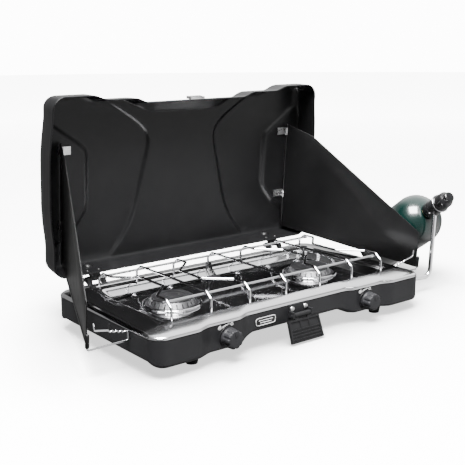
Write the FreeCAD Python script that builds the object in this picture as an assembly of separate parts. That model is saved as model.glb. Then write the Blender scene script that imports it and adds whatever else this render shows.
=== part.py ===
import FreeCAD, Part
import os, math
from FreeCAD import Vector as V

# ---------------------------------------------------------------- dimensions, mm
W = 560.0            # width of the base
D = 304.0            # depth of the base
Z_SEAM = 60.0        # top edge of the base wall, where the tray sits
Z_RIM = 70.7         # highest line of the tray rim
Z_FLOOR = 53.0       # sunk floor of the tray
Z_SIDE = 22.0        # lower edge of the base wall along the sides
Z_PAD = 16.0         # lower edge of the base wall at the corners
Z_ARCH = 28.5        # lower edge of the base wall in the middle of the front
R_CORNER = 23.0      # plan radius of the base corners
RIM_X, RIM_Y = 240.0, 117.0    # half sizes of the rim's highest line
T_SHEET = 1.0        # painted sheet
T_TRAY = 0.8         # polished sheet
BX = 150.0           # burner centres at +-BX
HINGE_Y, HINGE_Z = 162.0, 71.0 # lid hinge axis, parallel to X
HINGE_X = 200.0
LID_ANGLE = 85.0     # lid plane above the horizontal, leaning towards the front
LID_Y, LID_Z = 152.0, 81.5     # lower edge of the lid rim
PANEL_X = 246.5      # wind panel hinge line, from the middle
PANEL_DEPTH = 40.0   # wind panel hinge line, behind the lid rim
PANEL_SPLAY = 20.44   # degrees outward from square to the lid
WIRE = 2.0           # grate wire radius
Z_BAR = 97.0         # grate bar centre height
KNOB_X, KNOB_Z = 148.0, 37.0
INLET_Y, INLET_Z = -92.0, 33.0
REG = V(390.0, -92.0, 163.0)   # regulator axis, over the tube
BOTTLE_AZ, BOTTLE_DOWN = 14.0, 32.2
BOTTLE_R = 49.3

os.makedirs("parts", exist_ok=True)
NODES = {}

def save(name, *shapes):
    shapes = [s for s in shapes]
    shp = shapes[0] if len(shapes) == 1 else Part.makeCompound(shapes)
    vol = 0.0
    n = 0
    for s in shp.Solids:
        vol += s.Volume
        n += 1
        if not s.isValid() or s.Volume <= 0:
            print("BAD SOLID", name, s.Volume)
    NODES[name] = shp
    shp.exportStep("parts/%s.step" % name)
    b = shp.BoundBox
    print("%-22s %2d solids %10.0f mm3  x %.1f..%.1f y %.1f..%.1f z %.1f..%.1f" %
          (name, n, vol, b.XMin, b.XMax, b.YMin, b.YMax, b.ZMin, b.ZMax))

def box(x0, y0, z0, x1, y1, z1):
    return Part.makeBox(x1 - x0, y1 - y0, z1 - z0, V(x0, y0, z0))

def cyl(p, d, r, h):
    return Part.makeCylinder(r, h, V(*p), V(*d))

def cone(p, d, r1, r2, h):
    return Part.makeCone(r1, r2, h, V(*p), V(*d))

def poly(pts):
    return Part.makePolygon([V(*p) for p in pts] + [V(*pts[0])])

def prism(pts2, z0, z1):
    return Part.Face(poly([(x, y, z0) for x, y in pts2])).extrude(V(0, 0, z1 - z0))

def mirror(s):
    return s.mirror(V(0, 0, 0), V(1, 0, 0))

def fuse(*ss):
    out = ss[0]
    for s in ss[1:]:
        out = out.fuse(s)
    return out

def solid_of(shape):
    return shape.Solids[0] if len(shape.Solids) == 1 else shape

def revolve(profile, p, d):
    """profile: closed list of (radius, along) turned about the axis p, d"""
    w = Part.makePolygon([V(r, 0, a) for r, a in profile] + [V(profile[0][0], 0, profile[0][1])])
    s = Part.Face(w).revolve(V(0, 0, 0), V(0, 0, 1), 360)
    if isinstance(s, Part.Shape) and s.ShapeType != "Solid":
        s = Part.makeSolid(s) if s.ShapeType == "Shell" else s.Solids[0]
    pl = FreeCAD.Placement(V(*p), FreeCAD.Rotation(V(0, 0, 1), V(*d)))
    s = s.copy()
    s.Placement = pl
    return s

def rod(pts, r, bend):
    """round wire through pts with tangent bends"""
    pts = [V(*p) for p in pts]
    edges = []
    cur = pts[0]
    for i in range(1, len(pts) - 1):
        a, b, c = pts[i - 1], pts[i], pts[i + 1]
        u = (a - b).normalize()
        w = (c - b).normalize()
        turn = math.pi - u.getAngle(w)
        if turn < 1e-4:
            continue
        br = bend[i - 1] if isinstance(bend, (list, tuple)) else bend
        t = br * math.tan(turn / 2.0)
        p1 = b + u * t
        p2 = b + w * t
        bis = (u + w).normalize()
        mid = b + bis * (br / math.cos(turn / 2.0) - br)
        if (p1 - cur).Length > 1e-6:
            edges.append(Part.LineSegment(cur, p1).toShape())
        edges.append(Part.Arc(p1, mid, p2).toShape())
        cur = p2
    edges.append(Part.LineSegment(cur, pts[-1]).toShape())
    path = Part.Wire(edges)
    d = (pts[1] - pts[0]).normalize()
    c = Part.Wire([Part.makeCircle(r, pts[0], d)])
    s = path.makePipeShell([c], True, False)
    if s.ShapeType != "Solid":
        s = Part.makeSolid(s)
    if s.Volume < 0:
        s = s.reversed()
    want = math.pi * r * r * path.Length
    if abs(s.Volume / want - 1) > 0.02:
        print("ROD VOLUME", s.Volume, want)
    return s

# ---------------------------------------------------------------- plan outlines
NARC = 6
def arc_pts(cx, cy, r, a0, a1):
    return [(cx + r * math.cos(math.radians(a0 + (a1 - a0) * k / NARC)),
             cy + r * math.sin(math.radians(a0 + (a1 - a0) * k / NARC))) for k in range(NARC + 1)]

FRONT = [(204, 0.0), (182, 8.0), (124, 8.0), (104, 16.0)]    # |x| and step back from the front line

def outline(t=0.0, hw=W / 2, y0=-D / 2, y1=D / 2, rc=R_CORNER, wave=1.0, sx=1.0):
    """closed outline, inset by t; the front line steps back twice towards its middle"""
    r = max(rc - t, 0.5)
    hx, a, b = hw - t, y0 + t, y1 - t
    pts = arc_pts(-hx + r, a + r, r, 180, 270)
    pts += [(-x * sx, a + wave * s) for x, s in FRONT]
    pts += [(x * sx, a + wave * s) for x, s in reversed(FRONT)]
    pts += arc_pts(hx - r, a + r, r, 270, 360)
    pts += arc_pts(hx - r, b - r, r, 0, 90)
    pts += arc_pts(-hx + r, b - r, r, 90, 180)
    return pts

def between(p, q, s):
    return [(a[0] + s * (b[0] - a[0]), a[1] + s * (b[1] - a[1])) for a, b in zip(p, q)]

def loft(levels):
    """levels: list of (points, z)"""
    ws = [poly([(x, y, z) for x, y in pts]) for pts, z in levels]
    s = Part.makeLoft(ws, True, True)
    if s.Volume < 0:
        s = s.reversed()
    return s

# ---------------------------------------------------------------- base shell
FEET = [(-196, -118), (196, -118), (-196, 122), (196, 122)]
def pan(t):
    s = prism(outline(t), Z_PAD + t, Z_SEAM + (0 if t == 0 else 1))
    # raised middle of the bottom
    zc = Z_ARCH + t
    tr = [(-118 - t, -400, 0), (118 + t, -400, 0), (118 + t, -400, Z_PAD + t), (95 + t, -400, zc), (-95 - t, -400, zc), (-118 - t, -400, Z_PAD + t)]
    s = s.cut(Part.Face(poly(tr)).extrude(V(0, 800, 0)))
    # raised sides between the corner pads
    zs = Z_SIDE + t
    q = [(-400, -144 - t, 0), (-400, 144 + t, 0), (-400, 144 + t, Z_PAD + t), (-400, 128 + t, zs), (-400, -128 - t, zs), (-400, -144 - t, Z_PAD + t)]
    s = s.cut(Part.Face(poly(q)).extrude(V(800, 0, 0)))
    # drawn bosses for the rubber feet
    for x, y in FEET:
        s = s.fuse(Part.makeCone(15.0 - t, 19.0 - t, 14.0, V(x, y, Z_PAD + t)))
    return s

base = pan(0).cut(pan(T_SHEET))
for sx in (-1, 1):
    base = base.cut(cyl((sx * KNOB_X, -160, KNOB_Z), (0, 1, 0), 5.0, 30))
    # slots that take the wind panel wires
    for y, z0, z1 in ((-81.5, 46.0, 58.0), (-23.6, 44.0, 54.0)):
        base = base.cut(box(sx * 280 - 5, y - 2.6, z0, sx * 280 + 5, y + 2.6, z1))
base = base.cut(cyl((260, INLET_Y, INLET_Z), (1, 0, 0), 8.2, 40))
# holes for the hinge leaves' rivets, latch rivets and foot screws
for x in (-212, -188, 188, 212):
    base = base.cut(cyl((x, 140, 48), (0, 1, 0), 2.0, 20))
for x in (-14, 14):
    base = base.cut(cyl((x, -145, 52), (0, 1, 0), 2.0, 20))
for x, y in FEET:
    base = base.cut(cyl((x, y, 10), (0, 0, 1), 2.2, 20))
save("base_shell", solid_of(base))

# rubber feet with their screws
feet, screws = [], []
for x, y in FEET:
    f = revolve([(2.5, 3.5), (7.0, 3.5), (7.0, 0.0), (9.0, 0.0), (12.0, Z_PAD - 0.0), (2.5, Z_PAD)], (x, y, 0), (0, 0, 1))
    feet.append(f)
    g = revolve([(0, 4.0), (5.0, 4.0), (5.0, 6.5), (2.0, 6.5), (2.0, 22.0), (0, 22.0)], (x, y, 0), (0, 0, 1))
    screws.append(g)
feet2 = []
for f, (x, y) in zip(feet, FEET):
    feet2.append(f.cut(cyl((x, y, 3.0), (0, 0, 1), 5.3, 3.8)))
save("rubber_feet", *feet2)
nuts = []
for (x, y), g in zip(FEET, screws):
    nut = prism([(x + 4.2 * math.cos(math.radians(60 * k)), y + 4.2 * math.sin(math.radians(60 * k))) for k in range(6)], Z_PAD + T_SHEET, Z_PAD + T_SHEET + 3.2)
    nuts.append(g.fuse(nut))
save("foot_screws", *nuts)

# ---------------------------------------------------------------- drip tray
def rim_rect(hx, hy, r):
    pts = arc_pts(-hx + r, -hy + r, r, 180, 270)
    pts += [(-x * 0.92, -hy) for x, s in FRONT]
    pts += [(x * 0.92, -hy) for x, s in reversed(FRONT)]
    pts += arc_pts(hx - r, -hy + r, r, 270, 360)
    pts += arc_pts(hx - r, hy - r, r, 0, 90)
    pts += arc_pts(-hx + r, hy - r, r, 90, 180)
    return pts

def tray_top(t):
    P = outline(t)
    Q = rim_rect(RIM_X, RIM_Y, 16)
    lv = [(P, Z_SEAM - (1 if t else 0)), (between(P, Q, 0.015), Z_SEAM + 2.2 - t), (between(P, Q, 0.10), Z_SEAM + 5.4 - t),
          (between(P, Q, 0.30), Z_SEAM + 8.2 - t), (between(P, Q, 0.62), Z_SEAM + 10.1 - t), (Q, Z_RIM - t)]
    return loft(lv)
def tray_well(t, over=0.0):
    lv = [(rim_rect(RIM_X - 22 + t, RIM_Y - 22 + t, 14 + t), Z_FLOOR - t), (rim_rect(RIM_X - 10 + t, RIM_Y - 10 + t, 15 + t), Z_RIM - 4.8 - t * 0.4),
          (rim_rect(RIM_X + t * 0.5, RIM_Y + t * 0.5, 16), Z_RIM - t * 0.9)]
    if over:
        lv.append((rim_rect(RIM_X + 2, RIM_Y + 2, 16), Z_RIM + over))
    return loft(lv)
well_out = tray_well(T_TRAY)
tray = tray_top(0).cut(tray_top(T_TRAY).cut(well_out)).fuse(well_out).cut(tray_well(0, 3.0))
for sx in (-1, 1):
    tray = tray.cut(cyl((sx * BX, 0, 40), (0, 0, 1), 43.5, 20))
save("drip_tray", solid_of(tray))

# ---------------------------------------------------------------- burners
for side, sx in (("left", -1), ("right", 1)):
    x = sx * BX
    # chrome ring round the opening
    save("drip_ring_" + side, revolve([(41.5, 51.2), (42.6, 50.2), (43.2, 50.2), (43.2, 53.0), (49.0, 53.0), (49.3, 54.4), (48.6, 56.6),
        (46.6, 58.0), (44.4, 57.6), (42.6, 55.6), (41.5, 53.6)], (x, 0, 0), (0, 0, 1)))
    # cast cup under the head
    save("burner_bowl_" + side, revolve([(0, 33.0), (22.0, 33.0), (32.0, 41.0), (39.0, 50.0), (39.0, 52.6), (37.0, 52.6), (30.0, 43.5), (21.0, 35.5), (0, 35.5)], (x, 0, 0), (0, 0, 1))
         .cut(cyl((x, -12, 41.0), (0, -1, 0), 6.5, 40)))
    # head with radial ports
    head = revolve([(0, 64.0), (0, 61.5), (30.5, 61.5), (36.0, 52.6), (39.8, 52.6), (40.4, 54.0), (34.2, 65.0), (0, 65.0)], (x, 0, 0), (0, 0, 1))
    for k in range(24):
        a = math.radians(15 * k + 7.5)
        slot = Part.makeBox(12, 1.8, 6.5, V(31.0, -0.9, 56.0))
        slot.rotate(V(0, 0, 0), V(0, 0, 1), math.degrees(a))
        slot.translate(V(x, 0, 0))
        head = head.cut(slot)
    save("burner_head_" + side, solid_of(head))
    save("burner_cap_" + side, revolve([(0, 65.0), (33.0, 65.0), (34.5, 66.0), (34.5, 67.4), (32.0, 69.0), (12.0, 69.8), (0, 69.8)], (x, 0, 0), (0, 0, 1)))
    # steel bridge that carries the bowl
    br = box(x - 9, -60, 29.9, x + 9, 60, 31.4)
    br = br.fuse(cyl((x, 0, 31.4), (0, 0, 1), 12, 1.6))
    foot1 = box(x - 9, 58.6, 29.9, x + 9, 60, 51.1)
    foot2 = box(x - 9, -60, 29.9, x + 9, -58.6, 51.1)
    hole = cyl((x, -70, 41.0), (0, 1, 0), 8.2, 20)
    save("burner_bracket_" + side, solid_of(br.fuse(foot1).fuse(foot2.cut(hole))))
    # mixing tube from the valve jet to the bowl
    tube = revolve([(6.6, 0.0), (8.0, 0.0), (8.0, 14.0), (6.2, 24.0), (6.2, 86.0), (4.8, 86.0), (4.8, 24.8), (6.6, 14.6)], (x, -112, 41.0), (0, 1, 0))
    tube = tube.cut(box(x - 2.5, -111, 30, x + 2.5, -103, 55)).cut(box(x - 20, -111, 39.5, x + 20, -103, 42.5))
    save("mixing_tube_" + side, solid_of(tube))

# ---------------------------------------------------------------- valves, manifold, inlet
def valve(x):
    b = box(x - 9, -134, KNOB_Z - 8, x + 9, -118, KNOB_Z + 7)
    b = b.fuse(cyl((x, -134, KNOB_Z), (0, -1, 0), 4.6, 8.0))
    b = b.fuse(cyl((x, -118, 41.0), (0, 1, 0), 3.0, 9.5))
    b = b.cut(cyl((x, -143, KNOB_Z), (0, 1, 0), 3.06, 16))
    return b
for side, sx in (("left", -1), ("right", 1)):
    x = sx * KNOB_X
    save("valve_body_" + side, solid_of(valve(x)))
    # stem with a flat, turning in the valve
    st = cyl((x, -158, KNOB_Z), (0, 1, 0), 3.0, 29.0)
    st = st.cut(box(x - 4, -159, KNOB_Z + 2.0, x + 4, -148, KNOB_Z + 5))
    save("valve_stem_" + side, solid_of(st))
    # knob: skirt, grip bar, bore with flat
    k = revolve([(0, 0.0), (17.0, 0.0), (17.0, 4.0), (16.0, 5.2), (15.4, 13.5), (14.0, 15.6), (0, 16.2)], (x, -146.2, KNOB_Z), (0, -1, 0))
    for n in range(12):
        a = math.radians(30 * n + 15)
        k = k.cut(cyl((x + 17.6 * math.cos(a), -146.2 - 5.0, KNOB_Z + 17.6 * math.sin(a)), (0, -1, 0), 2.6, 14))
    k = k.fuse(box(x - 3.2, -166.4, KNOB_Z - 13.0, x + 3.2, -160.0, KNOB_Z + 13.0))
    bore = cyl((x, -146.0, KNOB_Z), (0, -1, 0), 3.05, 12.2).cut(box(x - 4, -158.5, KNOB_Z + 2.05, x + 4, -148.1, KNOB_Z + 5))
    save("knob_" + side, solid_of(k.cut(bore)))

man = rod([(-139.0, -126, KNOB_Z - 2), (139.0, -126, KNOB_Z - 2)], 3.5, 5)
feed = rod([(157.0, -126, KNOB_Z - 2), (215.0, -126, KNOB_Z - 2), (236.0, INLET_Y, INLET_Z), (258.0, INLET_Y, INLET_Z)], 3.5, 12)
save("manifold_tube", man, feed)
# socket: a barrel through the wall with a flange inside and out
inlet = revolve([(3.56, 0.0), (8.0, 0.0), (8.0, 30.2), (8.0, 34.2), (11.0, 34.2), (11.0, 37.0), (4.05, 37.0), (4.05, 13.0), (3.56, 13.0)], (246.0, INLET_Y, INLET_Z), (1, 0, 0))
flange = revolve([(7.5, 28.4), (9.4, 28.4), (9.4, 32.2), (7.5, 32.2)], (246.0, INLET_Y, INLET_Z), (1, 0, 0))
save("fuel_inlet", solid_of(inlet.fuse(flange)))

# ---------------------------------------------------------------- grate
YP = 106.5
ZF = 67.2            # lower end of the legs, on the tray's sloping side
XS = [-222.5, -150, -75, 0, 75, 150, 222.5]
JOG = {-222.5: 37, -75: -39, 75: 39, 222.5: -37}
wires = []
for i, x in enumerate(XS):
    ZF = 68.2 if abs(x) > 200 else 67.2
    if x in JOG:
        j = JOG[x]
        pts = [(x, -YP, ZF + WIRE), (x, -YP, 86.5), (x, -YP + 13, Z_BAR), (x, -68, Z_BAR), (x + j, -30, Z_BAR), (x + j, 30, Z_BAR), (x, 68, Z_BAR), (x, YP - 13, Z_BAR), (x, YP, 86.5), (x, YP, ZF + WIRE)]
        w = rod(pts, WIRE, 5.0)
    else:
        pts = [(x, -YP, ZF + WIRE), (x, -YP, 86.5), (x, -YP + 13, Z_BAR), (x, YP - 13, Z_BAR), (x, YP, 86.5), (x, YP, ZF + WIRE)]
        w = rod(pts, WIRE, 5.0)
    for sy in (-1, 1):
        w = w.fuse(cyl((x, sy * YP, ZF), (0, 0, 1), WIRE, WIRE + 0.5))
    wires.append(solid_of(w))
names = ["left_end", "left_burner", "left_inner", "middle", "right_inner", "right_burner", "right_end"]
ZR = Z_BAR - 2 * WIRE + 0.12
for n, w in zip(names, wires):
    save("grate_bar_" + n, w)
for nm, y in (("front", -92.0), ("rear", 92.0)):
    save("grate_rail_" + nm, rod([(-228, y, ZR), (228, y, ZR)], WIRE, 5))

# spring clip that holds the middle leg of the grate
clip = revolve([(0, Z_FLOOR), (9.0, Z_FLOOR), (8.0, Z_FLOOR + 2.4), (4.5, Z_FLOOR + 4.0), (0, Z_FLOOR + 4.2)], (0, 84.0, 0), (0, 0, 1))
for q in (-1, 1):
    pr = Part.Face(poly([(min(q * 2.5, q * 4.1), y, z) for y, z in ((80.0, Z_FLOOR), (94.6, Z_FLOOR), (106.4, 67.2), (109.5, 69.2), (109.5, 77.0), (102.5, 77.0), (98.0, 66.0), (88.0, 58.0))])).extrude(V(1.6, 0, 0))
    clip = clip.fuse(pr)
save("grate_clip", solid_of(clip))

# ---------------------------------------------------------------- lid frame
LID = FreeCAD.Placement(V(0, LID_Y, LID_Z), FreeCAD.Rotation(V(1, 0, 0), 180.0 - LID_ANGLE))
def lid_place(s):
    s = s.copy()
    s.Placement = LID.multiply(s.Placement)
    return s
# in the lid's own axes x is across, y runs from the hinge side to the free side, and -z is the depth
LEN = 303.0
LID_DEPTH = 52.0
BULGE = [(250.0, 0.0), (215.0, 4.6), (185.0, 6.6), (100.0, 6.6), (70.0, 4.2), (38.0, 0.0)]   # sides stand out in their middle
def lid_out(t, depth_inset=0.0, wave=1.0):
    # the front line of the outline becomes the free side
    d = t + depth_inset
    r = max(R_CORNER - d, 0.5)
    hx, v0, v1 = W / 2 - d, d, LEN - d
    pts = [(x, LEN - y) for x, y in arc_pts(-hx + r, d + r, r, 180, 270)]
    pts += [(-x, v1 - wave * s) for x, s in FRONT] + [(x, v1 - wave * s) for x, s in reversed(FRONT)]
    pts += [(x, LEN - y) for x, y in arc_pts(hx - r, d + r, r, 270, 360)]
    pts += [(hx + b, v) for v, b in BULGE]
    pts += [(x, LEN - y) for x, y in arc_pts(hx - r, LEN - d - r, r, 0, 90)]
    pts += [(x, LEN - y) for x, y in arc_pts(-hx + r, LEN - d - r, r, 90, 180)]
    pts += [(-hx - b, v) for v, b in reversed(BULGE)]
    return pts

def lid_levels(t):
    z = lambda d: -d + t if t else -d
    return [
        (lid_out(t), 1.0 if t else 0.0),
        (lid_out(t, 1.0, 1.05), z(20.0)),
        (lid_out(t, 2.4, 1.1), z(36.0)),
        (lid_out(t, 5.0, 1.15), z(44.0)),
        (lid_out(t, 11.0, 1.2), z(49.0)),
        (lid_out(t, 22.0, 1.2), z(LID_DEPTH)),
    ]
outer = loft(lid_levels(0))
inner = loft(lid_levels(T_SHEET))
# stamps pressed inward: an hourglass in the middle, a panel at each side, a scoop at the free side
HOUR = [(160.0, -2.0), (152.0, 8.0), (120.0, 45.0), (100.0, 88.0), (86.0, 150.0), (75.0, 190.0), (71.0, 211.0), (79.0, 232.0), (95.0, 247.0), (126.0, 268.0), (180.0, 300.0)]
def stamps(t):
    h = [(x + t, v) for x, v in HOUR]
    h = h + [(-x, v) for x, v in reversed(h)]
    out = [prism(h, -60, -47.6 + t)]
    pr = [(400, 262 + t), (278, 262 + t), (258, 250 + t), (203 - t, 211 + t), (195 - t, 200), (195 - t, 112), (203 - t, 90), (223 - t, 66 - t), (268, 38 - t), (400, 38 - t)]
    c = prism(pr, -60, -46.6 + t)
    out += [c, mirror(c)]
    return out
lid = outer
inn = inner
for a, b in zip(stamps(0), stamps(T_SHEET)):
    lid = lid.cut(a)
    inn = inn.cut(b)
lid = lid.cut(inn)
CLIPS_V = (207.0, 81.0)
lid = lid_place(solid_of(lid))
save("lid_shell", solid_of(lid))

# ---------------------------------------------------------------- lid hinges
hb, hl, hp = [], [], []
for sx in (-1, 1):
    x = sx * HINGE_X
    # base leaf: plate on the rear wall and two outer knuckles
    y0 = D / 2 + 0.05
    leaf = box(x - 18, y0, 40, x + 18, y0 + 1.6, 62)
    kn = []
    for a, b in ((-18, -9.2), (9.2, 18)):
        k = cyl((x + a, HINGE_Y, HINGE_Z), (1, 0, 0), 4.6, b - a)
        arm = Part.Face(poly([(x + a, y0, 58), (x + a, y0 + 1.6, 58), (x + a, HINGE_Y + 4.0, HINGE_Z - 2.3), (x + a, HINGE_Y - 3.8, HINGE_Z + 2.3)])).extrude(V(b - a, 0, 0))
        kn.append(k.fuse(arm))
    leaf = leaf.fuse(kn[0]).fuse(kn[1])
    leaf = leaf.cut(cyl((x - 30, HINGE_Y, HINGE_Z), (1, 0, 0), 2.5, 60))
    for q in (-12, 12):
        leaf = leaf.cut(cyl((x + q, 140, 48), (0, 1, 0), 2.0, 30))
    hb.append(solid_of(leaf))
    pin = cyl((x - 19.5, HINGE_Y, HINGE_Z), (1, 0, 0), 2.5, 39).fuse(cyl((x - 21.2, HINGE_Y, HINGE_Z), (1, 0, 0), 3.8, 2.2)).fuse(cyl((x + 19.0, HINGE_Y, HINGE_Z), (1, 0, 0), 3.8, 2.2))
    hp.append(solid_of(pin))
    # lid leaf: middle knuckle and a tab up to the lid's lower wall
    k = cyl((x - 8.7, HINGE_Y, HINGE_Z), (1, 0, 0), 4.6, 17.4)
    tab = Part.Face(poly([(x - 8.7, HINGE_Y - 4.0, HINGE_Z + 2.0), (x - 8.7, HINGE_Y + 4.4, HINGE_Z + 1.4), (x - 8.7, HINGE_Y + 10.0, HINGE_Z + 10.2), (x - 8.7, HINGE_Y - 2.0, HINGE_Z + 10.9)])).extrude(V(17.4, 0, 0))
    hl.append((x, k.fuse(tab)))
save("hinge_leaf_base", *hb)
save("hinge_pins", *hp)
# the lid leaf's plate lies under the lid's lower wall
ll = []
for x, k in hl:
    plate = Part.makeBox(34, 1.6, 20, V(x - 17, -1.65, -26))
    plate = lid_place(plate)
    s = k.fuse(plate)
    s = s.cut(lid_place(Part.makeBox(60, 40, 60, V(x - 30, -0.05, -60))))
    s = s.cut(cyl((x - 30, HINGE_Y, HINGE_Z), (1, 0, 0), 2.56, 60))
    ll.append(solid_of(s))
save("hinge_leaf_lid", *ll)
# rivets through the hinge leaves
rv = []
for x in (-212, -188, 188, 212):
    rv.append(cyl((x, 148.6, 48), (0, 1, 0), 1.95, 7.0).fuse(revolve([(0, 0), (4.0, 0), (3.4, 1.4), (0, 2.0)], (x, 153.7, 48), (0, 1, 0))))
save("hinge_rivets", *[solid_of(r) for r in rv])

# ---------------------------------------------------------------- front latch
yb = -D / 2 + 16.0     # wall face in the middle of the front
br = box(-21, yb - 2.0, 41.5, 21, yb - 0.05, 59.0)
for a, b in ((-21, -17.5), (17.5, 21)):
    br = br.fuse(box(a, yb - 12.6, 39.2, b, yb - 0.05, 49.5))
LP_Y, LP_Z = yb - 9.0, 43.0
br = br.cut(cyl((-30, LP_Y, LP_Z), (1, 0, 0), 2.0, 60))
for x in (-14, 14):
    br = br.cut(cyl((x, -150, 52), (0, 1, 0), 2.0, 20))
save("latch_bracket", solid_of(br))
rv = [solid_of(cyl((x, yb - 4.0, 52), (0, 1, 0), 1.95, 8.0).fuse(revolve([(0, 0), (4.2, 0), (3.6, 1.3), (0, 1.9)], (x, yb - 2.0, 52), (0, -1, 0)))) for x in (-14, 14)]
save("latch_rivets", *rv)
save("latch_pin", cyl((-22.5, LP_Y, LP_Z), (1, 0, 0), 2.0, 45))
# lever: a ribbed plate that hangs from the pin and leans a little outward
LT = 20.0   # lean, degrees
def lever():
    # own axes: x across, y along the plate downward from the pin, z outward from the wall
    p = Part.Face(poly([(-32, 7.0, -1.2), (32, 7.0, -1.2), (33.5, 43.0, -1.2), (-33.5, 43.0, -1.2)])).extrude(V(0, 0, 3.0))
    p = p.fuse(Part.Face(poly([(-32, 7.0, -2.4), (-29, 7.0, -2.4), (-30.5, 43.0, -2.4), (-33.5, 43.0, -2.4)])).extrude(V(0, 0, 5.6)))
    p = p.fuse(Part.Face(poly([(29, 7.0, -2.4), (32, 7.0, -2.4), (33.5, 43.0, -2.4), (30.5, 43.0, -2.4)])).extrude(V(0, 0, 5.6)))
    p = p.fuse(Part.makeBox(64.4, 2.6, 5.6, V(-32.2, 7.0, -2.4)))
    for yy in (22, 27, 32, 37, 41.2):
        p = p.fuse(Part.makeBox(60, 1.8, 1.4, V(-30, yy, 1.5)))
    for xx in (-9.0, 9.0):
        p = p.fuse(Part.makeBox(2.0, 13.0, 1.4, V(xx - 1.0, 9.0, 1.5)))
    hub = cyl((-16.8, 0, 0), (1, 0, 0), 4.0, 33.6)
    for xx in (-16.8, 8.8):
        p = p.fuse(Part.makeBox(8.0, 9.0, 3.6, V(xx, 0.0, -1.8)))
    p = p.fuse(hub)
    p = p.cut(cyl((-40, 0, 0), (1, 0, 0), 2.06, 80))
    return p
lv = lever()
# plate axis y -> down, z -> outward (-Y)
M = FreeCAD.Placement(V(0, LP_Y, LP_Z), FreeCAD.Rotation(V(-1, 0, 0), V(0, -math.sin(math.radians(LT)), -math.cos(math.radians(LT))), V(0, -math.cos(math.radians(LT)), math.sin(math.radians(LT))), "XYZ"))
lv.Placement = M
save("latch_lever", solid_of(lv))
lvb = lv.BoundBox

# badge plate: plain rounded plate
def stadium(cx, cz, hx, hz, n=8):
    pts = []
    for k in range(n + 1):
        a = math.radians(-90 + 180 * k / n)
        pts.append((cx + hx - hz + hz * math.cos(a), cz + hz * math.sin(a)))
    for k in range(n + 1):
        a = math.radians(90 + 180 * k / n)
        pts.append((cx - hx + hz + hz * math.cos(a), cz + hz * math.sin(a)))
    return pts
def plate(pts, y0, y1):
    return Part.Face(poly([(x, y0, z) for x, z in pts])).extrude(V(0, y1 - y0, 0))
badge = plate(stadium(-68, 44.0, 21.5, 7.0), yb - 1.2, yb - 0.05).cut(plate(stadium(-68, 44.0, 19.9, 5.4), yb - 1.3, yb - 0.8))
save("badge_plate", solid_of(badge))

# keeper on the lid's free side
kp = Part.makeBox(30, 1.4, 14, V(-15, LEN - 16 + 0.05, -17))
kp = kp.fuse(Part.makeBox(30, 4.5, 1.4, V(-15, LEN - 16 + 0.05, -17)))
for a in (-15, 12.5):
    kp = kp.fuse(Part.makeBox(2.5, 4.0, 14, V(a, LEN - 16 + 0.05, -17)))
save("lid_keeper", lid_place(solid_of(kp)))

# ---------------------------------------------------------------- wind panels
def panel_frame(psi):
    # x of the panel runs from its hinge outward, y up the lid
    return FreeCAD.Placement(V(PANEL_X, 0, -PANEL_DEPTH), FreeCAD.Rotation(V(0, 1, 0), psi - 90.0))
PF = LID.multiply(panel_frame(PANEL_SPLAY))
TP = 1.0
EY = 294.9          # strut eye
def panel():
    pts = [(0.0, 12.0), (293.1, -14.0), (295.5, 55.0), (57.0, 207.0), (0.0, 222.0)]
    p = prism(pts, -TP / 2, TP / 2)
    # rolled bead along the hinge side, cut away at the clips
    bead = cyl((0, 12.0, 0), (0, 1, 0), 2.4, 210.0)
    p = p.fuse(bead)
    # stiffening fold along the front edge and the eye for the wire
    fold = Part.Face(poly([(287.5, -8.0, -TP / 2), (293.3, -12.0, -TP / 2), (295.5, 55.0, -TP / 2), (290.5, 58.3, -TP / 2)])).extrude(V(0, 0, TP + 1.0))
    p = p.fuse(fold)
    eye = cyl((EY, -13.0, 0), (0, 1, 0), 3.2, 20.0)
    p = p.fuse(eye).cut(cyl((EY, -20.0, 0), (0, 1, 0), 1.56, 40.0))
    return solid_of(p.removeSplitter())
pr = panel()
pr.Placement = PF
save("wind_panel_right", pr)
save("wind_panel_left", mirror(pr))

# clips that hold the bead to the lid
cr, cl = [], []
for v in CLIPS_V:
    ring = cyl((PANEL_X, v - 7, -PANEL_DEPTH), (0, 1, 0), 4.0, 14.0).cut(cyl((PANEL_X, v - 8, -PANEL_DEPTH), (0, 1, 0), 2.8, 16.0))
    # mouth of the curl, open towards the front
    m = Part.Face(poly([(PANEL_X, v - 8, -PANEL_DEPTH), (PANEL_X - 3.0, v - 8, -PANEL_DEPTH + 9), (PANEL_X + 14, v - 8, -PANEL_DEPTH + 9), (PANEL_X + 14, v - 8, -PANEL_DEPTH + 1.5)])).extrude(V(0, 16, 0))
    ring = ring.cut(m)
    # the side of the lid stands at this depth under the clip
    base_z = -46.6 + T_SHEET
    leg = Part.makeBox(20, 14.0, 1.2, V(PANEL_X - 20, v - 7, base_z + 0.05))
    post = Part.makeBox(3.0, 14.0, abs(base_z) - PANEL_DEPTH - 2.9, V(PANEL_X - 1.5, v - 7, base_z + 0.05))
    g = ring.fuse(leg).fuse(post)
    g = lid_place(solid_of(g))
    cr.append(g)
    cl.append(mirror(g))
save("panel_clips_right", *cr)
save("panel_clips_left", *cl)

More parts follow.
